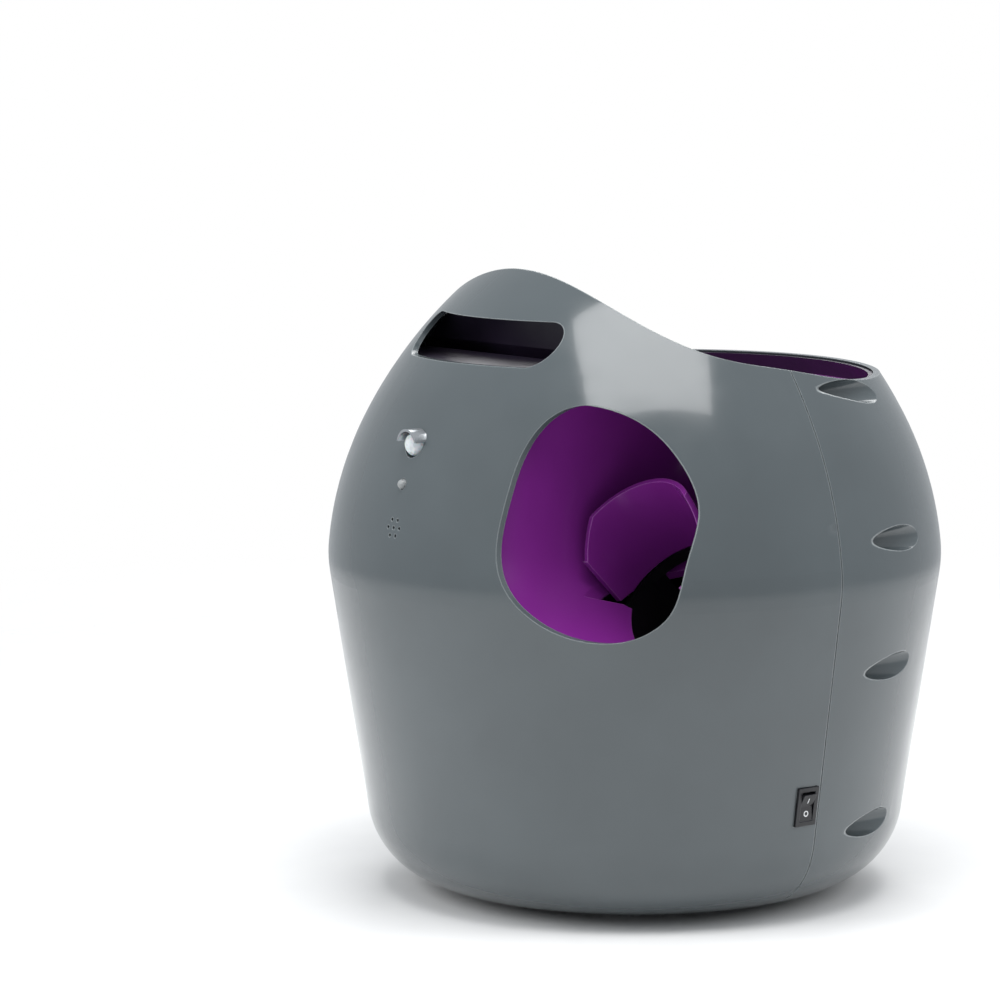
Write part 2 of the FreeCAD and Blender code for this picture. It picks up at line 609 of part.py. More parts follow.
drive_axle = axle("drive_axle_core", "axle_radius", 2 * plate_outer + 2, -plate_outer - 1, drive_y, drive_z)
drive_bore = axle("drive_bore", "axle_radius + 0.02", 60, -30, drive_y, drive_z)
light_holes = []
for number in range(5):
    turn = math.radians(72 * number)
    light_holes.append(axle("light_hole_%d" % number, "drive_teeth * drive_module / 9", 60, -30,
                            drive_y + 0.55 * drive_radius * math.cos(turn),
                            drive_z + 0.55 * drive_radius * math.sin(turn)))
node("drive_gear", on_launch("drive_gear_placed", cut("drive_gear_cut", gear_body, drive_bore,
                                                       join("light_holes", *light_holes))))
node("drive_axle", on_launch("drive_axle_placed", drive_axle))
pinion_body = across(pushed("motor_pinion_teeth", gear_face(s.pinion_teeth, s.drive_module,
                                                            45 + 180 / s.pinion_teeth), Z_AXIS, "gear_width"),
                     -s.gear_width / 2, pinion_y, pinion_z)
pinion_shaft = axle("pinion_shaft", "axle_radius", plate_outer * 2 + 8, -plate_outer - 8, pinion_y, pinion_z)
node("motor_pinion", on_launch("motor_pinion_placed", join("motor_pinion_mass", pinion_body, pinion_shaft)))


def plate_face():
    """Side plate in the Y-Z plane of the chamber's frame, drawn as X across and Y up before it is laid."""
    top = -s.chamber_length
    outline = [(12, top), (12, top - 27), (drive_y, drive_z - 15), (drive_y - 24, drive_z - 4),
               (pinion_y - 13, pinion_z - 4), (pinion_y - 8, pinion_z + 12), (pinion_y + 7, pinion_z + 12),
               (-s.bore_radius - 6, pinion_z), (-s.bore_radius - 6, top)]
    corners = [Vector(-z, y, 0) for y, z in outline]
    return Part.Face(Part.makePolygon(corners + corners[:1]))


holes = [axle("plate_hole_drive", "axle_radius + run_gap", 60, -30, drive_y, drive_z),
         axle("plate_hole_pinion", "axle_radius + run_gap", 60, -30, pinion_y, pinion_z)]
plate_holes = join("plate_holes", *holes)
for side, x in (("left", -plate_outer), ("right", plate_inner)):
    plate = across(pushed("gear_plate_%s_sheet" % side, plate_face(), Z_AXIS, "plate_thickness"), x, 0, 0)
    node("gear_plate_" + side, on_launch("gear_plate_%s_placed" % side, cut(
        "gear_plate_%s_cut" % side, plate, plate_holes)))
motor_can = axle("motor_can", "motor_radius", "motor_length", -plate_outer - s.motor_length, pinion_y, pinion_z)
motor_nose = axle("motor_nose", "motor_radius * 0.4", 6, -plate_outer - s.motor_length - 6, pinion_y, pinion_z)
motor_bore = axle("motor_bore", "axle_radius + run_gap", 10, -plate_outer - 9, pinion_y, pinion_z)
node("launch_motor", on_launch("launch_motor_placed", cut(
    "launch_motor_cut", join("launch_motor_mass", motor_can, motor_nose), motor_bore)))

# Tilt: sector on the barrel's left pin, two-faced rack, and the dial's shaft
sector_radius = s.sector_teeth * s.tilt_module / 2
tilt_pinion_radius = s.dial_teeth * s.tilt_module / 2
sector_x = s.mouth_x - sector_inner - s.sector_width
sector_disc = across(pushed("tilt_sector_teeth", gear_face(s.sector_teeth, s.tilt_module, 90), Z_AXIS,
                            "sector_width"), sector_x, pivot.y, pivot.z)
wedge = doc.addObject("Part::Cylinder", "sector_wedge")
bind(wedge, Radius=sector_radius + 4, Height="sector_width", Angle="tilt_range + 26")
wedge.Placement = Placement(Vector(sector_x, pivot.y, pivot.z), Rotation(Y_AXIS, 90)).multiply(
    Placement(Vector(0, 0, 0), Rotation(Z_AXIS, 90 - s.tilt_range - 13)))
sector_hub = axle("sector_hub", "pivot_radius + 4", "sector_width", sector_x, pivot.y, pivot.z)
sector_bore = axle("sector_bore", "pivot_radius + 0.02", 40, sector_x - 10, pivot.y, pivot.z)
node("tilt_sector", cut("tilt_sector_cut", join("tilt_sector_mass", common(
    "sector_blade", sector_disc, wedge), sector_hub), sector_bore))

rack_line = pivot.y + sector_radius
fall = (s.stub + 0.3) * s.tilt_module
travel = sector_radius * math.radians(s.tilt_range)
rack_top = pivot.z + 9
rack_foot = s.dial_z - travel - 9
sector_side = pushed("sector_side_teeth", rack_face(pivot.z - travel - 9, rack_top, pivot.z, s.tilt_module,
                                                    fall + s.rack_back), Z_AXIS, "sector_width")
sector_side.Placement = Placement(Vector(sector_x + s.sector_width, rack_line, 0), Rotation(Y_AXIS, -90))
pinion_line = sector_x - s.stub * s.tilt_module
dial_x = pinion_line - tilt_pinion_radius
dial_side = pushed("dial_side_teeth", rack_face(rack_foot, s.dial_z + 14, s.dial_z, s.tilt_module,
                                                fall + s.rack_back), Z_AXIS, "rack_back")
dial_side.Placement = Placement(Vector(pinion_line, rack_line + fall, 0),
                                Rotation(Z_AXIS, X_AXIS, Y_AXIS, "XZY"))
node("tilt_rack", join("tilt_rack_mass", sector_side, dial_side))
rack_back_y = rack_line + fall + s.rack_back + s.fit_gap
guide = join("rack_guide_mass",
             box("guide_back", (12, 4, 44), (sector_x - 2, rack_back_y, pivot.z - 40)),
             box("guide_side", (6, 10, 44), (sector_x + s.sector_width + s.fit_gap, rack_back_y - 6, pivot.z - 40)))
node("rack_guide", cut("rack_guide_cut", guide, pocket_solid("pocket_for_guide", 0.0)))


def stick(name, radius, length, x, y, z):
    """Round bar along Y from y."""
    return cylinder(name, radius, length, (x, y, z), X_AXIS, -90)


dial_pinion = pushed("dial_pinion_teeth", gear_face(s.dial_teeth, s.tilt_module, 0), Z_AXIS,
                     "rack_back")
dial_pinion.Placement = Placement(Vector(dial_x, rack_line + fall, s.dial_z), Rotation(X_AXIS, -90))
shaft_end = s.panel_y + 6
dial_shaft = stick("dial_shaft_bar", "axle_radius", shaft_end - rack_line - fall, dial_x, rack_line + fall, "dial_z")
node("angle_shaft", join("angle_shaft_mass", dial_pinion, dial_shaft))

# Rear panel with its two dials
tray_outer = rounded("tray_outer", box("tray_block", ("panel_width", "60", "panel_height"),
                                       ("-panel_width / 2", "panel_y", "dial_z - panel_height / 2")),
                     s.panel_corner, lambda edge: abs(edge.tangentAt(edge.FirstParameter).y) > 0.99)
tray_inner = rounded("tray_inner", box(
    "tray_room", ("panel_width - 2 * wall", "60", "panel_height - 2 * wall"),
    ("-panel_width / 2 + wall", "panel_y + wall", "dial_z - panel_height / 2 + wall")),
    s.panel_corner - s.wall, lambda edge: abs(edge.tangentAt(edge.FirstParameter).y) > 0.99)
panel_bore = [stick("panel_bore_%d" % number, "axle_radius + run_gap", 40, x, s.panel_y - 20, "dial_z")
              for number, x in enumerate((-dial_x, dial_x), start=1)]
node("dial_panel", cut("dial_panel_cut", common("dial_panel_mass", tray_outer, outer_body), tray_inner,
                       *panel_bore))
knob_front = s.panel_y + s.wall + s.fit_gap
for name, x in (("distance_dial", -dial_x), ("angle_dial", dial_x)):
    knob = stick(name + "_disc", "dial_radius", "dial_height", x, knob_front, "dial_z")
    grip = box(name + "_grip", ("5", "4", "1.7 * dial_radius"),
               (x - 2.5, knob_front + s.dial_height, "dial_z - 0.85 * dial_radius"))
    notches = []
    for number in range(24):
        turn = math.radians(15 * number + 7.5)
        notches.append(stick("%s_notch_%d" % (name, number), 1.2, 40, x + s.dial_radius * math.cos(turn),
                             knob_front - 10, s.dial_z + s.dial_radius * math.sin(turn)))
    socket = stick(name + "_socket", "axle_radius + 0.02", 20, x, knob_front - 14, "dial_z")
    node(name, cut(name + "_cut", join(name + "_mass", knob, grip), join(name + "_notches", *notches), socket))
node("distance_shaft", stick("distance_shaft_bar", "axle_radius", 14, -dial_x, shaft_end - 14, "dial_z"))
sensor_case = box("distance_sensor_case", (26, 9, 26), (-dial_x - 13, s.panel_y - 9, s.dial_z - 13))
sensor_bore = stick("distance_sensor_bore", "axle_radius + run_gap", 40, -dial_x, s.panel_y - 20, "dial_z")
node("distance_sensor", cut("distance_sensor_cut", sensor_case, sensor_bore))

# Funnel, rim liner and chute


def hopper_side(shrink):
    """Side view of the hopper: front lip, shelf over the pocket, front wall, and open above."""
    edge = [(-s.lip_front, s.crown_height), (-s.lip_front, s.shelf_height + 8), (-s.lip_front + 7, s.shelf_height),
            (-s.funnel_front - 10, s.shelf_height - 2), (-s.funnel_front, s.shelf_height - 12),
            (-s.funnel_front, s.outlet_height - 40), (FAR, s.outlet_height - 40), (FAR, s.crown_height)]
    corners = [Vector(-FAR, y, z) for y, z in edge]
    wire = Part.makePolygon(corners + corners[:1])
    if shrink:
        wire = wire.makeOffset2D(-shrink, 2, False, False)
    return Part.Face(wire)


def hopper_room(name, shrink):
    return common(name, pushed(name + "_side", hopper_side(shrink), X_AXIS, "800"),
                  casing_body(name + "_body", s.wall + s.fit_gap + shrink))


hopper_walls = cut("hopper_walls", hopper_room("hopper_outside", 0.0), hopper_room("hopper_inside", s.funnel_wall))
split = s.rim_height - s.liner_depth
above = box("above_split", (800, 800, 200), (-400, -400, split))
below = box("below_split", (800, 800, 200), (-400, -400, split - 200))
rim_trim = pushed("rim_trim", mouth_curve(1.2), X_AXIS, "800")
lip_trim = box("lip_trim", (800, 80, 100), (-400, -150, "lip_height"))
boss_room = join("boss_room", *[
    cylinder("boss_room_%d" % number, "pocket_radius + boss_wall + fit_gap", "112", (x, "-20", z), X_AXIS, -90)
    for number, (x, z) in enumerate(screw_places()[:4], start=1)])
slot_floor = common("slot_floor", liner_body, box("slot_floor_sheet", (400, 140 - s.lip_front, 2.5),
                                                  (-200, -140, "shelf_height")))
node("rim_liner", cut("rim_liner_cut", join("rim_liner_mass", common("rim_liner_wall", hopper_walls, above),
                                            slot_floor), rim_trim, lip_trim, boss_room))


def cone(name, lift):
    """Solid above the sloping funnel floor, wide at the top."""
    high = 240.0
    floor = Part.makeCone(s.outlet_radius, s.outlet_radius + high / math.tan(math.radians(s.funnel_slope)), high,
                          Vector(s.outlet_x, s.outlet_y, s.outlet_height + lift))
    return drawn(name, floor)


floor_sheet = common("funnel_floor", cut("funnel_floor_cut", cone("cone_low", -s.funnel_wall), cone("cone_high", 0.0)),
                     hopper_room("hopper_floor_room", 0.0), below)
wall_band = common("funnel_wall_band", hopper_walls, cone("cone_wall", -s.funnel_wall), below)
outlet = cylinder("outlet_hole", "outlet_radius", "40", ("outlet_x", "outlet_y", "outlet_height - 20"))
node("ball_funnel", cut("ball_funnel_cut", join("ball_funnel_mass", floor_sheet, wall_band), outlet, boss_room))

# Chute from the funnel's outlet to the chamber's port, with a floor that slopes into the port
chute_low = s.outlet_height - s.funnel_wall - 90
chute_outer = cylinder("chute_outer", "outlet_radius + 2.5", "90", ("outlet_x", "outlet_y", chute_low))
chute_inner = cylinder("chute_inner", "outlet_radius", "140", ("outlet_x", "outlet_y", chute_low - 20))
port_end = s.port_start + s.port_length
chute_space = on_launch("chute_space", box("chute_space_box", (200, 200, 300), (-100, 0, -port_end - 5)))
ball_space = on_launch("ball_space", box("ball_space_box", (200, 200, 300), (-100, 0, -port_end - 2.5)))
tube_space = on_launch("tube_space", cylinder("tube_space_bar", "bore_radius + tube_wall + fit_gap", 300,
                                              (0, 0, -150)))
chute_pocket = pocket_solid("pocket_for_chute", -0.5)
node("ball_chute", cut("ball_chute_cut", common("chute_mass", chute_outer, chute_space), common(
    "chute_room", chute_inner, ball_space), tube_space, chute_pocket))

# Base plate, feet, screws and battery box
door_x = 2 * 3 * s.cell_radius + 2 * s.box_wall - 14
door_y = s.cell_length + 2
plate = cylinder("base_disc", "plate_radius", "wall", (0, 0, "base_height"))
door_hole = box("door_hole", (door_x + 2 * s.fit_gap, door_y + 2 * s.fit_gap, "20"),
                (s.box_x - door_x / 2 - s.fit_gap, -door_y / 2 - s.fit_gap, 0))
base_screw_places = [(0.93 * s.plate_radius * math.cos(math.radians(a)),
                      0.93 * s.plate_radius * math.sin(math.radians(a))) for a in (30, 90, 150, 210, 270, 330)]
base_holes = []
base_heads = []
for number, (x, y) in enumerate(base_screw_places, start=1):
    base_holes.append(cylinder("base_hole_%d" % number, "screw_radius + run_gap", "20", (x, y, 0)))
    shank = cylinder("base_shank_%d" % number, "screw_radius", "wall + 4", (x, y, "base_height"))
    head = cylinder("base_head_%d" % number, "screw_head", "1.6", (x, y, "base_height - 1.6"))
    base_heads.append(join("base_screw_%d" % number, shank, head))
node("base_screws", join("base_screw_group", *base_heads))
feet = []
for number, angle in enumerate((45, 135, 225, 315), start=1):
    x = s.foot_ring * math.sin(math.radians(angle))
    y = -s.foot_ring * math.cos(math.radians(angle))
    dome = doc.addObject("Part::Sphere", "foot_dome_%d" % number)
    dome_radius = (s.foot_radius ** 2 + s.base_height ** 2) / (2 * s.base_height)
    bind(dome, Radius=dome_radius)
    place(dome, (x, y, dome_radius - 0.2))
    flat = box("foot_slab_%d" % number, (40, 40, "base_height"), (x - 20, y - 20, 0))
    name = ("foot_front_right", "foot_rear_right", "foot_rear_left", "foot_front_left")[number - 1]
    node(name, common(name + "_cut", dome, flat))
node("base_plate", cut("base_plate_cut", plate, door_hole, join("base_holes", *base_holes)))
step = box("door_step", (door_x - 8, door_y - 8, 3.4), (s.box_x - door_x / 2 + 4, -door_y / 2 + 4, s.base_height + 1))
leaf = box("door_leaf", (door_x, door_y, "wall"), (s.box_x - door_x / 2, -door_y / 2, "base_height"))
finger = box("door_finger", (14, 9, 1.6), (s.box_x + door_x / 2 - 20, -4.5, s.base_height - 0.1))
node("battery_door", cut("battery_door_cut", join("battery_door_mass", leaf, step), finger))
box_length = 6 * s.cell_radius + 2 * s.box_wall
box_width = s.cell_length + 2 * s.box_wall + 6
box_tall = 4 * s.cell_radius + 3
floor_z = s.box_floor
shell_block = box("battery_block", (box_length, box_width, box_tall + s.box_wall),
                  (s.box_x - box_length / 2, -box_width / 2, floor_z))
room = box("battery_room", (box_length - 2 * s.box_wall, box_width - 2 * s.box_wall, box_tall + 10),
           (s.box_x - box_length / 2 + s.box_wall, -box_width / 2 + s.box_wall, floor_z - 10))
posts = []
for number, (i, j) in enumerate(((-1, -1), (-1, 1), (1, -1), (1, 1)), start=1):
    posts.append(cylinder("box_post_%d" % number, 4, floor_z - s.base_height - s.wall + 6,
                          (s.box_x + i * (box_length / 2 - 4), j * (box_width / 2 + 2), "base_height + wall")))
board_x = s.box_x - box_length / 2 + 6
board_z = floor_z + box_tall + s.box_wall
board_rails = [box("board_rail_%d" % number, (2, 60, 8), (x, -30, board_z - 2))
               for number, x in enumerate((board_x - 2, board_x + 1.6), start=1)]
node("battery_box", join("battery_box_with_rails", cut(
    "battery_box_cut", join("battery_box_mass", shell_block, *posts), room), *board_rails))
cells = []
contacts = []
for number in range(6):
    x = s.box_x + (number % 3 - 1) * (2 * s.cell_radius + 0.3)
    z = floor_z + 0.4 + s.cell_radius + (number // 3) * (2 * s.cell_radius + 0.3)
    flip = -1 if number % 2 else 1
    can = stick("cell_can_%d" % number, "cell_radius - 0.3", s.cell_length - 1.5,
                x, -s.cell_length / 2 if flip > 0 else -s.cell_length / 2 + 1.5, z)
    tip = stick("cell_tip_%d" % number, 4.5, 1.5, x, s.cell_length / 2 - 1.5 if flip > 0 else -s.cell_length / 2, z)
    cells.append(join("cell_%d" % number, can, tip))
    for end in (-1, 1):
        contacts.append(box("contact_%d_%d" % (number, end + 1), (20, 0.6, 20),
                            (x - 10, end * (box_width / 2 - s.box_wall - 0.3) - 0.3, z - 10)))
        contacts.append(stick("contact_nub_%d_%d" % (number, end + 1), 5, 2.0, x,
                              -box_width / 2 + s.box_wall if end < 0 else box_width / 2 - s.box_wall - 2.0, z))
node("battery_cells", join("battery_cell_group", *cells))
node("battery_contacts", join("battery_contact_group", *contacts))

# Power switch: bezel and rocker in the leaning frame of the wall
bezel = block("switch_bezel", "switch_width", "switch_height", "2.4")
on_switch(bezel, Vector(-s.switch_height / 2, -s.switch_width / 2, -1.4))
body_block = on_switch(block("switch_body", "switch_width - 2", "switch_height - 2", "switch_depth"),
                       Vector(1 - s.switch_height / 2, 1 - s.switch_width / 2, -s.switch_depth - 1.4))
well = on_switch(block("switch_well", "switch_width - 4.5", "switch_height - 4.5", "switch_depth"),
                 Vector(2.25 - s.switch_height / 2, 2.25 - s.switch_width / 2, -s.switch_depth + 3.4))
node("switch_housing", cut("switch_housing_cut", join("switch_housing_mass", bezel, body_block), well))
half_tall = s.switch_height / 2 - 2.25 - 0.5
half_wide = s.switch_width / 2 - 2.25 - 0.3


def rocker_face():
    """Side view of the rocker about its pivot: X down the wall, Y outwards, shallow V on its face."""
    drop = math.tan(math.radians(s.rocker_throw))
    outline = [(-half_tall, 1.2 + 2.4 * half_tall * drop), (0, 1.6), (half_tall, 1.2 + 2.4 * half_tall * drop),
               (half_tall - 0.9, -0.6), (1.6, -2.6), (-1.6, -2.6), (-half_tall + 0.9, -0.6)]
    corners = [Vector(x, y, 0) for x, y in outline]
    return Part.Face(Part.makePolygon(corners + corners[:1]))


rocker = pushed("switch_rocker_sheet", rocker_face(), Z_AXIS, 2 * half_wide)
lean = Rotation(Y_AXIS, 90 + s.switch_lean)
rocker_turn = lean.multiply(Rotation(Y_AXIS, s.rocker_throw)).multiply(Rotation(X_AXIS, 90))
rocker.Placement = Placement(Vector(switch_x, s.switch_y, s.switch_z) + lean.multVec(Vector(0, half_wide, -1.6)),
                             rocker_turn)
node("switch_rocker", rocker)

# Motion sensor, lamp and speaker on the front, set square to Y
lens_y = -math.sqrt(casing_radius(s.lens_z) ** 2)
lens_ball = doc.addObject("Part::Sphere", "lens_ball")
bind(lens_ball, Radius="lens_radius")
place(lens_ball, (0, lens_y + 1.5, "lens_z"))
lens_stem = cylinder("lens_stem", "lens_radius", "10", (0, lens_y + 11.5, "lens_z"), X_AXIS, 90)
node("sensor_lens", join("sensor_lens_mass", lens_ball, lens_stem))
brow_outer = cylinder("brow_outer", "lens_radius + 1.6", "8.6", (0, lens_y + 3, "lens_z"), X_AXIS, 90)
brow_inner = cylinder("brow_inner", "lens_radius + fit_gap", "60", (0, lens_y + 20, "lens_z"), X_AXIS, 90)
brow_cut = box("brow_cut", (40, 40, 40), (-20, lens_y - 30, "lens_z - 40 + 1.5"))
node("sensor_brow", cut("sensor_brow_cut", brow_outer, brow_inner, brow_cut, inner_body,
                        common("brow_seat", front_shell, casing_body("brow_seat_body", 0.0))))
node("sensor_board", box("sensor_board_sheet", (34, 1.6, 46), (-17, lens_y + 11.9, s.lens_z - 40)))
lamp_y = -casing_radius(s.lamp_z)
lamp_dome = doc.addObject("Part::Sphere", "lamp_dome")
bind(lamp_dome, Radius="lamp_radius")
place(lamp_dome, (0, lamp_y - 0.2, "lamp_z"))
lamp_stem = cylinder("lamp_stem", "lamp_radius", "9", (0, lamp_y + 8.8, "lamp_z"), X_AXIS, 90)
node("status_lamp", join("status_lamp_mass", lamp_dome, lamp_stem))
speaker_y = -casing_radius(s.speaker_z) + s.wall + 0.4
speaker_rim = cylinder("speaker_rim", "12", "5", (0, speaker_y + 5, "speaker_z"), X_AXIS, 90)
speaker_cone = doc.addObject("Part::Cone", "speaker_cone")
bind(speaker_cone, Radius1=12, Radius2=7, Height=7)
place(speaker_cone, (0, speaker_y + 5, "speaker_z"), X_AXIS, -90)
speaker_dish = cylinder("speaker_dish", 9, 8, (0, speaker_y + 4, "speaker_z"), X_AXIS, 90)
node("speaker", common("speaker_seated", cut("speaker_cut", join("speaker_mass", speaker_rim, speaker_cone),
                                             speaker_dish), liner_body))

# Main board and the power inlet
board = box("main_board_sheet", (1.6, 80, 72), (board_x, -40, board_z))
chips = [box("chip_%d" % number, size, (board_x + 1.6, y, board_z + up)) for number, (size, y, up) in enumerate((
    ((3, 16, 16), -20, 25), ((9, 8, 22), 10, 14), ((12, 14, 14), 20, 45), ((6, 12, 8), -34, 55)), start=1)]
node("main_board", join("main_board_mass", board, *chips))
inlet_z = s.base_height + 46
inlet_y = casing_radius(inlet_z)
inlet_body = stick("inlet_body", 5.5, 16, 0, inlet_y - 15.5, inlet_z)
inlet_flange = common("inlet_flange", outer_body, stick("inlet_ring", 7.5, 20, 0, inlet_y - s.wall - 4, inlet_z))
inlet_bore = stick("inlet_bore", 3.2, 12, 0, inlet_y - 10, inlet_z)
inlet_pin = stick("inlet_pin", 1.0, 10, 0, inlet_y - 12, inlet_z)
node("power_inlet", join("power_inlet_mass", cut("power_inlet_cut", inlet_body, inlet_bore), inlet_pin))


def write_parts():
    """Check every object and every node, then write each node to its file."""
    doc.recompute()
    os.makedirs("parts", exist_ok=True)
    for thing in doc.Objects:
        bad = [state for state in thing.State if state in ("Invalid", "Error")]
        if bad:
            raise RuntimeError("%s is %s" % (thing.Label, bad))
    for name, thing in NODES.items():
        shape = thing.Shape
        if shape.isNull() or not shape.isValid() or shape.Volume < 1.0:
            raise RuntimeError("%s has no valid shape" % name)
        shape.exportStep("parts/%s.step" % name)


write_parts()
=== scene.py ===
import json
import math

import bpy
from mathutils import Matrix, Quaternion, Vector


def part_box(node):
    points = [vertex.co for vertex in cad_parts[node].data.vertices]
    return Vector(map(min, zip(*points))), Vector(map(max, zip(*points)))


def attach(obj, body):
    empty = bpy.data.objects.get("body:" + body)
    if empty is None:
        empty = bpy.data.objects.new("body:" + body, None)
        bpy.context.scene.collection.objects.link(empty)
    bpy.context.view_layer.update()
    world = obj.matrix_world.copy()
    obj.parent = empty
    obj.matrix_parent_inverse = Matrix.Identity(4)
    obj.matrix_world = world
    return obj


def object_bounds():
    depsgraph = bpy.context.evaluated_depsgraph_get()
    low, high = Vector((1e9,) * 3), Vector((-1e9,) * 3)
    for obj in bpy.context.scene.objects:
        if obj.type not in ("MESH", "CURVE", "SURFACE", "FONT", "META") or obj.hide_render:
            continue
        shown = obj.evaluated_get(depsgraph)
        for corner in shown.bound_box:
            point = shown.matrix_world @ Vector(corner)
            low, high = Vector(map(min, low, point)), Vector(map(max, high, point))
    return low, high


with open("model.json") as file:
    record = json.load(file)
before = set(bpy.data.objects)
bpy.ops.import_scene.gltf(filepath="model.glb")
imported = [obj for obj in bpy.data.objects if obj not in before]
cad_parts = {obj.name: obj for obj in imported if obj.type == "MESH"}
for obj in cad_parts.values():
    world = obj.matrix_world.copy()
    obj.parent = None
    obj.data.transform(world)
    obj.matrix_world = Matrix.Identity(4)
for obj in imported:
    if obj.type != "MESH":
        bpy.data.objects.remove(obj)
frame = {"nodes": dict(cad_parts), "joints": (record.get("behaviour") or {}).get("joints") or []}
cad_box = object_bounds()

MM = 0.001
NODES = frame["nodes"]
JOINTS = {joint["name"]: joint for joint in frame["joints"]}

# Colours are linear
SHELL_GREY = (0.072, 0.086, 0.093)
# Paler edge tone for the shell: painted highlight on rounded edges, with a little wear
SHELL_EDGE_SHEEN_AND_WEAR = (0.30, 0.33, 0.34)
PURPLE = (0.200, 0.020, 0.240)
# Paler edge tone for the purple parts: painted highlight on rounded edges, with a little wear
PURPLE_EDGE_SHEEN_AND_WEAR = (0.42, 0.12, 0.47)
LINER_DARK = (0.016, 0.011, 0.024)
BLACK = (0.008, 0.008, 0.010)
WHITE_MARK = (0.80, 0.81, 0.82)


# Materials


def ramp(nodes, links, source, low, high):
    """Blend two colours by a texture's value."""
    blend = nodes.new("ShaderNodeMix")
    blend.data_type = "RGBA"
    blend.inputs["A"].default_value = (*low, 1)
    blend.inputs["B"].default_value = (*high, 1)
    links.new(source, blend.inputs["Factor"])
    return blend.outputs["Result"]


def noise(nodes, links, place, scale, detail=3.0):
    texture = nodes.new("ShaderNodeTexNoise")
    texture.inputs["Scale"].default_value = scale
    texture.inputs["Detail"].default_value = detail
    links.new(place, texture.inputs["Vector"])
    return texture.outputs["Fac"]


def spread(nodes, links, source, low, high):
    """Map a texture's middle range to a range of values."""
    span = nodes.new("ShaderNodeMapRange")
    span.inputs["From Min"].default_value = 0.3
    span.inputs["From Max"].default_value = 0.7
    span.inputs["To Min"].default_value = low
    span.inputs["To Max"].default_value = high
    links.new(source, span.inputs["Value"])
    return span.outputs["Result"]


# Cosine of the lean at which an edge's paler tone starts, and at which it is full. The paler tone is a
# painted highlight on rounded edges, with a little wear.
EDGE_STARTS = 0.985
EDGE_FULL = 0.86


def edge_mask(nodes, links, bevel):
    """1 on edges, 0 on open faces: how far the rounded normal leans from the true one."""
    geometry = nodes.new("ShaderNodeNewGeometry")
    dot = nodes.new("ShaderNodeVectorMath")
    dot.operation = "DOT_PRODUCT"
    links.new(geometry.outputs["Normal"], dot.inputs[0])
    links.new(bevel.outputs["Normal"], dot.inputs[1])
    mask = nodes.new("ShaderNodeMapRange")
    mask.inputs["From Min"].default_value = EDGE_STARTS
    mask.inputs["From Max"].default_value = EDGE_FULL
    links.new(dot.outputs["Value"], mask.inputs["Value"])
    return mask.outputs["Result"]


def surface(name, colour, roughness, patch=0.10, grain=900.0, bump=0.05, edge=None, edge_width=0.0,
            **sockets):
    """A moulded or metal surface: patches of tone, a fine grain, uneven gloss, and a paler tone on edges
    that is a painted highlight with a little wear.
    """
    made = bpy.data.materials.new(name)
    made.use_nodes = True
    nodes = made.node_tree.nodes
    links = made.node_tree.links
    shader = nodes["Principled BSDF"]
    place = nodes.new("ShaderNodeTexCoord").outputs["Object"]
    broad = noise(nodes, links, place, 14.0)
    fine = noise(nodes, links, place, grain, 2.0)
    low = tuple(part * (1 - patch) for part in colour)
    high = tuple(part * (1 + patch) for part in colour)
    tone = ramp(nodes, links, spread(nodes, links, broad, 0.0, 1.0), low, high)
    relief = nodes.new("ShaderNodeBump")
    relief.inputs["Strength"].default_value = bump
    relief.inputs["Distance"].default_value = 0.0002
    links.new(fine, relief.inputs["Height"])
    # Edges blend to the colour given as edge: a painted highlight on rounded edges, with a little wear
    if edge_width:
        bevel = nodes.new("ShaderNodeBevel")
        bevel.samples = 4
        bevel.inputs["Radius"].default_value = edge_width
        links.new(bevel.outputs["Normal"], relief.inputs["Normal"])
        edge_sheen_and_wear = nodes.new("ShaderNodeMix")
        edge_sheen_and_wear.data_type = "RGBA"
        links.new(edge_mask(nodes, links, bevel), edge_sheen_and_wear.inputs["Factor"])
        links.new(tone, edge_sheen_and_wear.inputs["A"])
        edge_sheen_and_wear.inputs["B"].default_value = (*edge, 1)
        tone = edge_sheen_and_wear.outputs["Result"]
    links.new(tone, shader.inputs["Base Color"])
    links.new(spread(nodes, links, noise(nodes, links, place, 60.0), roughness * 0.8, roughness * 1.25),
              shader.inputs["Roughness"])
    links.new(relief.outputs["Normal"], shader.inputs["Normal"])
    for socket, value in sockets.items():
        shader.inputs[socket.replace("_", " ")].default_value = value
    return made


def faceted_lens(name):
    """Cloudy sensor lens with small cell-shaped facets."""
    made = surface(name, (0.62, 0.66, 0.68), 0.16, patch=0.06, bump=0.0, Coat_Weight=0.6,
                   Subsurface_Weight=0.3, Subsurface_Scale=0.004)
    nodes = made.node_tree.nodes
    links = made.node_tree.links
    cells = nodes.new("ShaderNodeTexVoronoi")
    cells.inputs["Scale"].default_value = 420.0
    links.new(nodes["Texture Coordinate"].outputs["Object"], cells.inputs["Vector"])
    facets = nodes.new("ShaderNodeBump")
    facets.inputs["Strength"].default_value = 0.9
    facets.inputs["Distance"].default_value = 0.0008
    links.new(cells.outputs["Distance"], facets.inputs["Height"])
    links.new(facets.outputs["Normal"], nodes["Principled BSDF"].inputs["Normal"])
    return made


def board_material(name):
    """Lacquered circuit board with faint tracks."""
    made = surface(name, (0.02, 0.10, 0.04), 0.35, patch=0.15, bump=0.02)
    nodes = made.node_tree.nodes
    links = made.node_tree.links
    tracks = nodes.new("ShaderNodeTexBrick")
    tracks.inputs["Scale"].default_value = 90.0
    tracks.inputs["Color1"].default_value = (0.02, 0.10, 0.04, 1)
    tracks.inputs["Color2"].default_value = (0.025, 0.13, 0.05, 1)
    tracks.inputs["Mortar"].default_value = (0.05, 0.20, 0.08, 1)
    links.new(nodes["Texture Coordinate"].outputs["Object"], tracks.inputs["Vector"])
    links.new(tracks.outputs["Color"], nodes["Principled BSDF"].inputs["Base Color"])
    return made
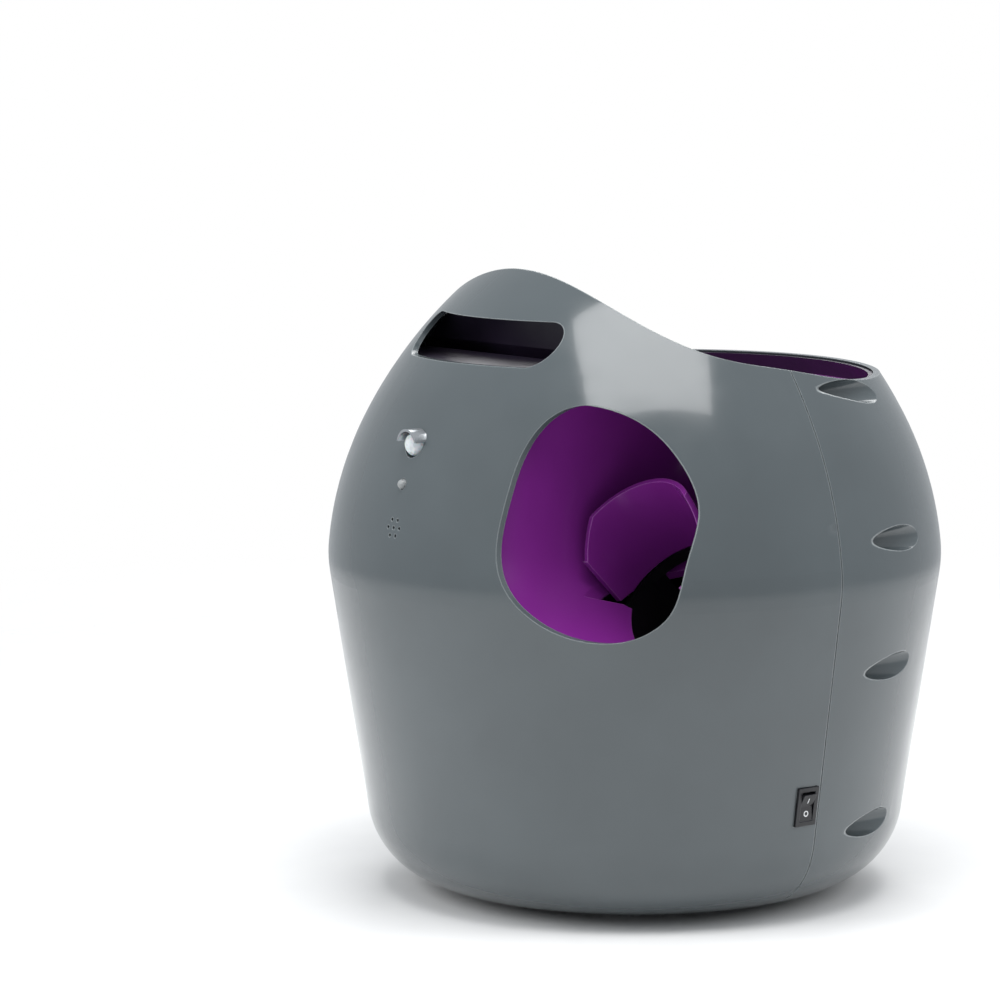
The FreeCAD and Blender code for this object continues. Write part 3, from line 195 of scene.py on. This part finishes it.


# The edge colours below are painted highlights on rounded edges, with a little wear
casing_look = surface("casing_grey", SHELL_GREY, 0.17, patch=0.07, bump=0.03, edge=SHELL_EDGE_SHEEN_AND_WEAR,
                      edge_width=0.0009, Coat_Weight=0.35, Coat_Roughness=0.06)
purple_look = surface("purple_gloss", PURPLE, 0.20, patch=0.08, bump=0.03, edge=PURPLE_EDGE_SHEEN_AND_WEAR,
                      edge_width=0.0008, Coat_Weight=0.3, Coat_Roughness=0.08)
liner_look = surface("dark_liner", LINER_DARK, 0.36, patch=0.15, grain=1400.0, bump=0.12)
black_look = surface("black_gloss", BLACK, 0.30, patch=0.15, bump=0.05, edge=(0.05, 0.05, 0.06),
                     edge_width=0.0005)
chamber_look = surface("chamber_black", (0.003, 0.003, 0.004), 0.42, patch=0.2, bump=0.06)
nylon_look = surface("white_nylon", (0.62, 0.62, 0.56), 0.42, patch=0.05, bump=0.08)
rubber_look = surface("striker_rubber", (0.02, 0.02, 0.02), 0.7, patch=0.2, bump=0.25)
steel_look = surface("steel", (0.50, 0.51, 0.53), 0.30, patch=0.08, grain=2400.0, bump=0.1, Metallic=1.0)
spring_look = surface("spring_steel", (0.36, 0.37, 0.39), 0.26, patch=0.12, bump=0.05, Metallic=1.0)
can_look = surface("motor_can", (0.55, 0.56, 0.58), 0.34, patch=0.08, grain=1800.0, bump=0.08, Metallic=1.0)
cell_look = surface("cell_wrap", (0.02, 0.03, 0.05), 0.25, patch=0.15, bump=0.03)
foot_look = surface("clear_foot", (0.55, 0.57, 0.57), 0.12, patch=0.05, bump=0.02, Transmission_Weight=0.55,
                    IOR=1.45)
trim_look = surface("bright_trim", (0.52, 0.54, 0.56), 0.16, patch=0.06, bump=0.03, Metallic=0.9)
lamp_look = surface("clear_lamp", (0.80, 0.83, 0.84), 0.06, patch=0.04, bump=0.02, Transmission_Weight=0.7,
                    IOR=1.49)
mark_look = surface("white_mark", WHITE_MARK, 0.45, patch=0.04, bump=0.05)
# Dark colour for the screw-head crosses: painted shade of the driver recesses
recess_shade_look = surface("screw_recess_shade", (0.02, 0.02, 0.022), 0.5, patch=0.2, bump=0.1, Metallic=0.6)
lens_look = faceted_lens("sensor_lens_cloudy")
board_look = board_material("board_lacquer")

LOOKS = {
    casing_look: ["front_shell", "rear_shell"],
    purple_look: ["cavity_liner", "barrel_hood", "ball_funnel"],
    liner_look: ["rim_liner", "dial_panel", "base_plate", "battery_door", "ball_chute", "battery_box",
                 "rack_guide"],
    black_look: ["switch_housing", "switch_rocker", "angle_dial", "distance_dial", "power_inlet", "speaker",
                 "distance_sensor"],
    chamber_look: ["launch_chamber"],
    nylon_look: ["drive_gear", "motor_pinion", "tilt_sector", "tilt_rack", "striker_rod"],
    rubber_look: ["striker"],
    steel_look: ["shell_screws", "base_screws", "drive_axle", "angle_shaft", "distance_shaft",
                 "gear_plate_left", "gear_plate_right", "battery_contacts"],
    spring_look: ["launch_spring"],
    can_look: ["launch_motor"],
    cell_look: ["battery_cells"],
    foot_look: ["foot_front_right", "foot_rear_right", "foot_rear_left", "foot_front_left"],
    trim_look: ["sensor_brow"],
    lens_look: ["sensor_lens"],
    lamp_look: ["status_lamp"],
    board_look: ["sensor_board", "main_board"],
}
for look, names in LOOKS.items():
    for name in names:
        mesh = NODES[name].data
        mesh.materials.clear()
        mesh.materials.append(look)


# Pieces that the solids leave out


def piece(name, mesh, look, body, at=None):
    thing = bpy.data.objects.new(name, mesh)
    bpy.context.scene.collection.objects.link(thing)
    mesh.materials.append(look)
    if at is not None:
        thing.matrix_world = at
    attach(thing, body)
    return thing


def plate_mesh(name, rings, thickness):
    """Flat shape between an outer and an optional inner ring of points, thickened along Z."""
    outer = rings[0]
    inner = rings[1] if len(rings) > 1 else None
    points = []
    faces = []
    count = len(outer)
    loops = [outer] if inner is None else [outer, inner]
    for z in (0.0, thickness):
        for loop in loops:
            points += [(x, y, z) for x, y in loop]
    step = count * len(loops)
    if inner is None:
        faces.append(tuple(reversed(range(count))))
        faces.append(tuple(range(step, step + count)))
    for i in range(count):
        j = (i + 1) % count
        faces.append((i, j, step + j, step + i))
        if inner is not None:
            faces.append((count + j, count + i, step + count + i, step + count + j))
            faces.append((j, i, count + i, count + j))
            faces.append((step + i, step + j, step + count + j, step + count + i))
    mesh = bpy.data.meshes.new(name)
    mesh.from_pydata(points, [], faces)
    mesh.update()
    return mesh


def ring_points(radius, count=32, squeeze=1.0):
    return [(radius * math.cos(math.tau * i / count), squeeze * radius * math.sin(math.tau * i / count))
            for i in range(count)]


def bar_points(length, width, steps=6):
    """A bar with round ends along X."""
    half = (length - width) / 2
    points = []
    for end, centre in ((1, half), (-1, -half)):
        for step in range(steps + 1):
            turn = math.pi * step / steps - math.pi / 2
            points.append((centre + end * width / 2 * math.cos(turn), end * width / 2 * math.sin(turn)))
    return points


def cross_points(reach, width):
    w = width / 2
    corner = [(reach, -w), (reach, w), (w, w)]
    points = []
    for quarter in range(4):
        c, n = round(math.cos(quarter * math.pi / 2)), round(math.sin(quarter * math.pi / 2))
        points += [(c * x - n * y, n * x + c * y) for x, y in corner]
    return points


END_TOLERANCE = 0.1 * MM
HEAD_SPREAD = 16.0 * MM


def flat_centres(node, axis, side):
    """Centres of a node's separate flat ends at one extreme of an axis."""
    low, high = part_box(node)
    level = high[axis] if side > 0 else low[axis]
    groups = []
    for vertex in NODES[node].data.vertices:
        if abs(vertex.co[axis] - level) > END_TOLERANCE:
            continue
        for group in groups:
            if (group[0] - vertex.co).length < HEAD_SPREAD:
                group.append(vertex.co.copy())
                break
        else:
            groups.append([vertex.co.copy()])
    return [sum(group, Vector()) / len(group) for group in groups]


# Switch marks, on the two faces of the rocker
switch = JOINTS["power_switch"]
SWITCH_LEAN = math.radians(99.0)
ROCKER_REST = math.radians(7.0)
ROCKER_FACE_RISE = 1.6 * MM
ROCKER_FACE_GRADE = 0.2415
ROCKER_FACE_SLOPE = math.atan(ROCKER_FACE_GRADE)
MARK_STEP = 3.6 * MM
MARK_THICKNESS = 0.12 * MM
MARK_SUNK = 0.04 * MM
MARK_RING = (1.55 * MM, 1.05 * MM)
MARK_BAR = (3.1 * MM, 0.5 * MM)


def on_rocker(down):
    """A place on the rocker's face, X down the face and Z outwards."""
    turn = -ROCKER_FACE_SLOPE if down > 0 else ROCKER_FACE_SLOPE
    out = ROCKER_FACE_RISE + abs(down) * math.tan(ROCKER_FACE_SLOPE)
    return (Matrix.Translation(Vector(switch["pos_m"]))
            @ Matrix.Rotation(SWITCH_LEAN + ROCKER_REST, 4, "Y")
            @ Matrix.Translation((down, 0, out))
            @ Matrix.Rotation(turn, 4, "Y")
            @ Matrix.Translation((0, 0, -MARK_SUNK)))


off_ring = plate_mesh("switch_mark_off", [ring_points(radius) for radius in MARK_RING], MARK_THICKNESS)
on_bar = plate_mesh("switch_mark_on", [bar_points(*MARK_BAR)], MARK_THICKNESS)
piece("switch_mark_off", off_ring, mark_look, "power_rocker", on_rocker(MARK_STEP))
piece("switch_mark_on", on_bar, mark_look, "power_rocker", on_rocker(-MARK_STEP))

# Dial scales on the rear panel, and a pointer on each knob
KNOB_RADIUS = 22.0 * MM
TICK_INNER = KNOB_RADIUS + 1.2 * MM
TICK_LENGTH = 1.6 * MM
TICK_WIDTH = 0.5 * MM
PRINT_THICKNESS = 0.2 * MM
TICK_SUNK = 0.05 * MM
POINTER_LENGTH = 11.0 * MM
POINTER_WIDTH = 1.2 * MM
POINTER_RADIUS = 12.0 * MM
POINTER_SUNK = 0.08 * MM
NUMBER_RADIUS = KNOB_RADIUS + 5.4 * MM
NUMBER_SIZE = 4.2 * MM
PANEL_WALL = 3.0 * MM
panel_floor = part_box("dial_panel")[0].y + PANEL_WALL
REARWARD = Matrix(((-1, 0, 0, 0), (0, 0, 1, 0), (0, 1, 0, 0), (0, 0, 0, 1)))
DOWNWARD = Matrix.Rotation(math.pi, 4, "X")
QUARTER_TURN = Matrix.Rotation(math.pi / 2, 4, "Z")

# Each dial: its joint, its highest number and the degrees that its scale takes
DIALS = {
    "angle": ("angle_dial_turn", 6, 200.0),
    "distance": ("distance_dial_turn", 9, 240.0),
}


def number_mesh(text):
    curve = bpy.data.curves.new("number_" + text, "FONT")
    curve.body = text
    curve.size = NUMBER_SIZE
    curve.extrude = PRINT_THICKNESS / 2
    curve.align_x = "CENTER"
    curve.align_y = "CENTER"
    holder = bpy.data.objects.new("number_holder", curve)
    mesh = bpy.data.meshes.new_from_object(holder)
    mesh.name = "number_" + text
    bpy.data.objects.remove(holder)
    return mesh


def on_panel(joint, radius, turn, level):
    """A place at an angle from the top round a dial, clockwise as seen from behind."""
    centre = Vector(joint["pos_m"])
    return (Matrix.Translation((centre.x, level, centre.z)) @ REARWARD
            @ Matrix.Rotation(-turn, 4, "Z") @ Matrix.Translation((0, radius, 0)))


def dial_scale(name, joint, last, sweep):
    for mark in range(1, last + 1):
        turn = sweep * ((mark - 1) / (last - 1) - 0.5)
        tick = plate_mesh(f"{name}_tick_{mark}", [bar_points(TICK_LENGTH, TICK_WIDTH)], PRINT_THICKNESS)
        seat = on_panel(joint, TICK_INNER + TICK_LENGTH / 2, turn, panel_floor - TICK_SUNK)
        piece(f"{name}_tick_{mark}", tick, mark_look, "casing",
              seat @ QUARTER_TURN)
        seat = on_panel(joint, NUMBER_RADIUS, turn, panel_floor) @ Matrix.Rotation(turn, 4, "Z")
        piece(f"{name}_number_{mark}", number_mesh(str(mark)), mark_look, "casing", seat)


for name, (joint, last, sweep) in DIALS.items():
    dial_scale(name, JOINTS[joint], last, math.radians(sweep))
    grip_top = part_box(name + "_dial")[1].y
    pointer = plate_mesh(name + "_pointer", [bar_points(POINTER_LENGTH, POINTER_WIDTH)], PRINT_THICKNESS)
    seat = on_panel(JOINTS[joint], POINTER_RADIUS, 0.0, grip_top - POINTER_SUNK) @ QUARTER_TURN
    piece(name + "_pointer", pointer, mark_look, name + "_dial", seat)

# Driver recesses in the screw heads: dark crosses set almost flush with each head, painted shade standing
# in for the hollow recess
RECESS_REACH = 2.2 * MM
RECESS_WIDTH = 0.9 * MM
RECESS_THICKNESS = 0.16 * MM
RECESS_SUNK = 0.12 * MM
Y, Z = 1, 2
SCREW_SETS = (("shell_screws", Y, 1, REARWARD), ("base_screws", Z, -1, DOWNWARD))
for node, axis, side, turn in SCREW_SETS:
    for number, centre in enumerate(flat_centres(node, axis, side), start=1):
        sunk = Vector((0, 0, 0))
        sunk[axis] = -side * RECESS_SUNK
        name = f"{node}_recess_{number}"
        cross = plate_mesh(name, [cross_points(RECESS_REACH, RECESS_WIDTH)], RECESS_THICKNESS)
        piece(name, cross, recess_shade_look, "casing", Matrix.Translation(centre + sunk) @ turn)

# Floor, lamps, world and camera
FLOOR_RADIUS = 3.0
FLOOR_SIDES = 64
FLOOR_THICKNESS = 1.0 * MM
FADE_STARTS = 0.30
FADE_ENDS = 1.30
floor_mesh = plate_mesh("floor", [ring_points(FLOOR_RADIUS, FLOOR_SIDES)], FLOOR_THICKNESS)
floor = bpy.data.objects.new("floor", floor_mesh)
bpy.context.scene.collection.objects.link(floor)
floor.location.z = cad_box[0].z - FLOOR_THICKNESS


def floor_material():
    """Pale floor that fades into the white background away from the object."""
    made = bpy.data.materials.new("pale_floor")
    made.use_nodes = True
    nodes = made.node_tree.nodes
    links = made.node_tree.links
    shader = nodes["Principled BSDF"]
    place = nodes.new("ShaderNodeTexCoord").outputs["Object"]
    patches = noise(nodes, links, place, 30.0)
    links.new(ramp(nodes, links, patches, (0.78, 0.78, 0.78), (0.82, 0.82, 0.82)),
              shader.inputs["Base Color"])
    shader.inputs["Roughness"].default_value = 0.75
    reach = nodes.new("ShaderNodeVectorMath")
    reach.operation = "LENGTH"
    links.new(place, reach.inputs[0])
    fade = nodes.new("ShaderNodeMapRange")
    fade.interpolation_type = "SMOOTHSTEP"
    fade.inputs["From Min"].default_value = FADE_STARTS
    fade.inputs["From Max"].default_value = FADE_ENDS
    links.new(reach.outputs["Value"], fade.inputs["Value"])
    clear = nodes.new("ShaderNodeBsdfTransparent")
    blend = nodes.new("ShaderNodeMixShader")
    links.new(fade.outputs["Result"], blend.inputs["Fac"])
    links.new(shader.outputs["BSDF"], blend.inputs[1])
    links.new(clear.outputs["BSDF"], blend.inputs[2])
    links.new(blend.outputs["Shader"], nodes["Material Output"].inputs["Surface"])
    return made


floor_mesh.materials.append(floor_material())

TARGET_HEIGHT = 158.0 * MM
target = Vector((0, 0, TARGET_HEIGHT))


def lamp(name, azimuth, elevation, distance, width, height, power, mirrored=True):
    """Soft box that faces the object. Azimuth 0 is the front, 90 the +X side.

    One that isn't mirrored lights the object but gives no sharp shape on its gloss.
    """
    a = math.radians(azimuth)
    e = math.radians(elevation)
    away = Vector((math.sin(a) * math.cos(e), -math.cos(a) * math.cos(e), math.sin(e)))
    light = bpy.data.lights.new(name, "AREA")
    light.shape = "RECTANGLE"
    light.size = width
    light.size_y = height
    light.energy = power
    thing = bpy.data.objects.new(name, light)
    bpy.context.scene.collection.objects.link(thing)
    thing.location = target + away * distance
    thing.rotation_mode = "QUATERNION"
    thing.rotation_quaternion = (-away).to_track_quat("-Z", "Y")
    thing.visible_camera = False
    thing.visible_glossy = mirrored


# Degrees, metres and watts, in the order that lamp() names them
lamp("top_box", 60, 72, 1.6, 1.2, 1.0, 22.0)
lamp("left_box", -20, 28, 1.7, 1.0, 1.2, 16.0, mirrored=False)
lamp("right_box", 128, 30, 1.8, 0.7, 1.3, 12.0, mirrored=False)
lamp("back_box", 220, 38, 1.8, 1.2, 1.0, 12.0)

ROOM_COLOUR = (0.92, 0.96, 1.0)
ROOM_STRENGTH = 0.55

world = bpy.data.worlds.new("world")
bpy.context.scene.world = world
world.use_nodes = True
world_nodes = world.node_tree.nodes
world_links = world.node_tree.links
room = world_nodes["Background"]
room.inputs["Color"].default_value = (*ROOM_COLOUR, 1)
room.inputs["Strength"].default_value = ROOM_STRENGTH
white = world_nodes.new("ShaderNodeBackground")
white.inputs["Color"].default_value = (1, 1, 1, 1)
seen = world_nodes.new("ShaderNodeLightPath")
mix = world_nodes.new("ShaderNodeMixShader")
world_links.new(seen.outputs["Is Camera Ray"], mix.inputs["Fac"])
world_links.new(room.outputs["Background"], mix.inputs[1])
world_links.new(white.outputs["Background"], mix.inputs[2])
world_links.new(mix.outputs["Shader"], world_nodes["World Output"].inputs["Surface"])
bpy.context.scene.view_settings.view_transform = "Standard"

CAMERA_AZIMUTH = math.radians(50.0)
CAMERA_ELEVATION = math.radians(8.7)
CAMERA_DISTANCE = 2.2
PHOTO_WIDTH = 1000.0
FOCAL_PIXELS = 4092.0
SENSOR_WIDTH = 36.0
CLIP_START = 0.05
TARGET_PIXEL = (634.0, 590.0)
away = Vector((math.sin(CAMERA_AZIMUTH) * math.cos(CAMERA_ELEVATION),
               -math.cos(CAMERA_AZIMUTH) * math.cos(CAMERA_ELEVATION), math.sin(CAMERA_ELEVATION)))
camera_data = bpy.data.cameras.new("camera")
camera_data.sensor_width = SENSOR_WIDTH
camera_data.lens = FOCAL_PIXELS / PHOTO_WIDTH * camera_data.sensor_width
camera_data.clip_start = CLIP_START
camera = bpy.data.objects.new("camera", camera_data)
bpy.context.scene.collection.objects.link(camera)
camera.location = target + away * CAMERA_DISTANCE
camera.rotation_mode = "QUATERNION"
turn_left = math.atan((TARGET_PIXEL[0] - PHOTO_WIDTH / 2) / FOCAL_PIXELS)
turn_up = math.atan((TARGET_PIXEL[1] - PHOTO_WIDTH / 2) / FOCAL_PIXELS)
camera.rotation_quaternion = ((-away).to_track_quat("-Z", "Y") @ Quaternion((0, 1, 0), turn_left)
                              @ Quaternion((1, 0, 0), turn_up))
bpy.context.scene.camera = camera
